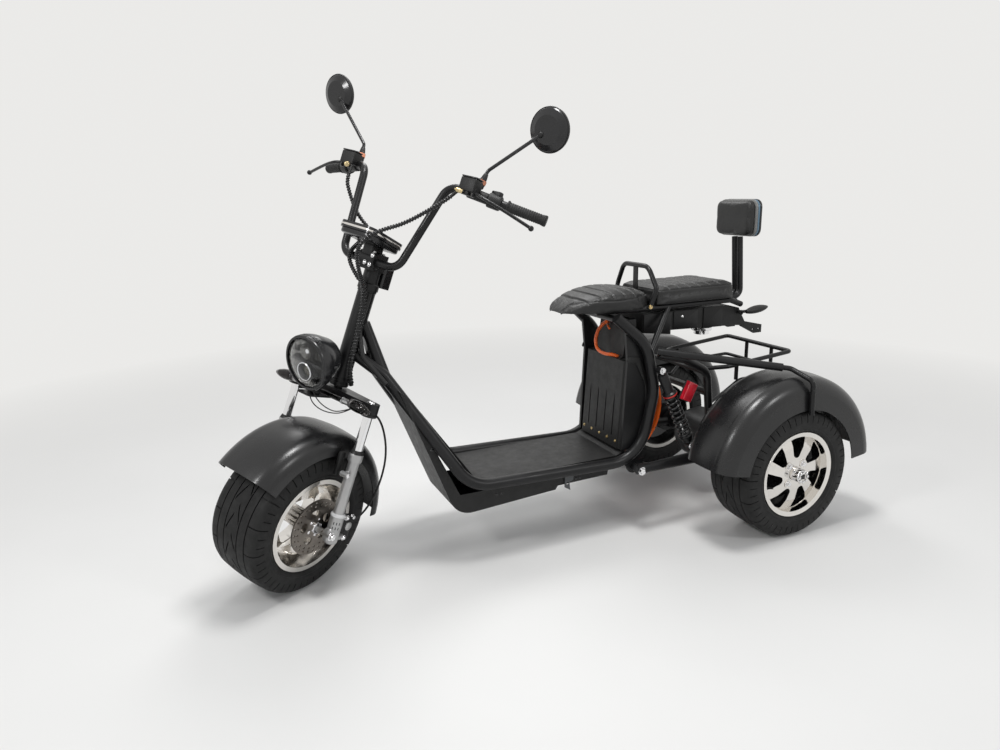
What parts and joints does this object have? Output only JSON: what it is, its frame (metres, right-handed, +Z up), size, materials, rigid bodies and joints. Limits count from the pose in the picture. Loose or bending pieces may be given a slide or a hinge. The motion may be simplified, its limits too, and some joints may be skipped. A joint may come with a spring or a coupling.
{
  "type": "motorized trike",
  "caption": "Step-through electric three-wheeler with a raked turning fork, wide tyres, deck, slide-in battery, two seats, backrest and luggage rack.",
  "frame": {"origin": "middle of the length and width, on the ground under the tyres", "axes": "+X forward, +Y to the rider's left, +Z up"},
  "size_m": [2.3056, 1.08, 1.6543],
  "materials": {
    "tyre_rubber": "matt black rubber with road grooves",
    "polished_alloy": "machined bright alloy",
    "chrome_trim": "chromed steel",
    "fork_silver": "silver painted aluminium",
    "steel_plain": "zinc plated steel",
    "disc_steel": "drilled steel disc",
    "seat_vinyl": "black vinyl with sewn channels",
    "grip_rubber": "ribbed soft rubber",
    "orange_plastic": "orange moulded plastic",
    "grey_metal": "grey painted steel",
    "lamp_glass": "clear lens over a bright bowl",
    "signal_lens": "clear lens in a black case",
    "black_plastic": "grained black plastic",
    "red_reflector": "red prismatic plastic",
    "gloss_plastic": "smooth black plastic",
    "cable_rubber": "black rubber sleeve",
    "fender_plastic": "satin black plastic",
    "black_paint": "satin black powder coat"
  },
  "bodies": {
    "frame": {"backrest_pad": "seat_vinyl", "battery_case": "black_plastic", "battery_handle": "orange_plastic", "belly_skirt": "black_plastic", "controller_box": "black_plastic", "footboard": "black_plastic", "front_seat": "seat_vinyl", "harness": "cable_rubber", "horn": "chrome_trim", "lock_bracket": "grey_metal", "luggage_rack": "black_paint", "main_frame": "black_paint", "rear_axle": "black_paint", "rear_cover": "orange_plastic", "rear_fender_left": "fender_plastic", "rear_fender_right": "fender_plastic", "rear_seat": "seat_vinyl", "rear_signal_left": "black_plastic", "rear_signal_right": "black_plastic", "rear_subframe": "black_paint", "seat_frame": "black_paint", "shock_left": "black_paint", "shock_right": "black_paint", "side_reflector_left": "red_reflector", "side_reflector_right": "red_reflector"},
    "steering": {"brake_caliper": "black_paint", "brake_control_left": "gloss_plastic", "brake_control_right": "gloss_plastic", "brake_hose": "cable_rubber", "cable_left": "cable_rubber", "cable_right": "cable_rubber", "display": "gloss_plastic", "fork_clamp": "black_paint", "fork_leg_left": "fork_silver", "fork_leg_right": "fork_silver", "fork_tube_left": "chrome_trim", "fork_tube_right": "chrome_trim", "front_axle": "steel_plain", "front_fender": "fender_plastic", "front_signal_left": "signal_lens", "front_signal_right": "signal_lens", "grip_left": "grip_rubber", "grip_right": "grip_rubber", "handlebar": "black_paint", "headlamp_lens": "lamp_glass", "headlamp_shell": "gloss_plastic", "key_box": "gloss_plastic", "mirror_left": "gloss_plastic", "mirror_right": "gloss_plastic", "steering_stem": "black_paint"},
    "front_wheel": {"tyre_front": "tyre_rubber", "rim_front": "polished_alloy", "front_brake_disc": "disc_steel"},
    "rear_wheel_left": {"tyre_rear_left": "tyre_rubber", "rim_rear_left": "polished_alloy"},
    "rear_wheel_right": {"tyre_rear_right": "tyre_rubber", "rim_rear_right": "polished_alloy"}
  },
  "joints": [
    {"name": "steering_turn", "type": "hinge", "parent": "frame", "child": "steering", "pos_m": [0.87519, 0, 0.2357], "axis": [-0.3584, 0, 0.9336], "range_deg": [-73.5, 6.5]},
    {"name": "front_wheel_spin", "type": "hinge", "parent": "steering", "child": "front_wheel", "pos_m": [0.90322, 0.01987, 0.24646], "axis": [-0.5153, 0.8339, -0.1978], "continuous": true},
    {"name": "rear_wheel_left_spin", "type": "hinge", "parent": "frame", "child": "rear_wheel_left", "pos_m": [-0.7912, 0.405, 0.2385], "axis": [0, 1, 0], "continuous": true},
    {"name": "rear_wheel_right_spin", "type": "hinge", "parent": "frame", "child": "rear_wheel_right", "pos_m": [-0.7912, -0.405, 0.2385], "axis": [0, 1, 0], "continuous": true}
  ]
}
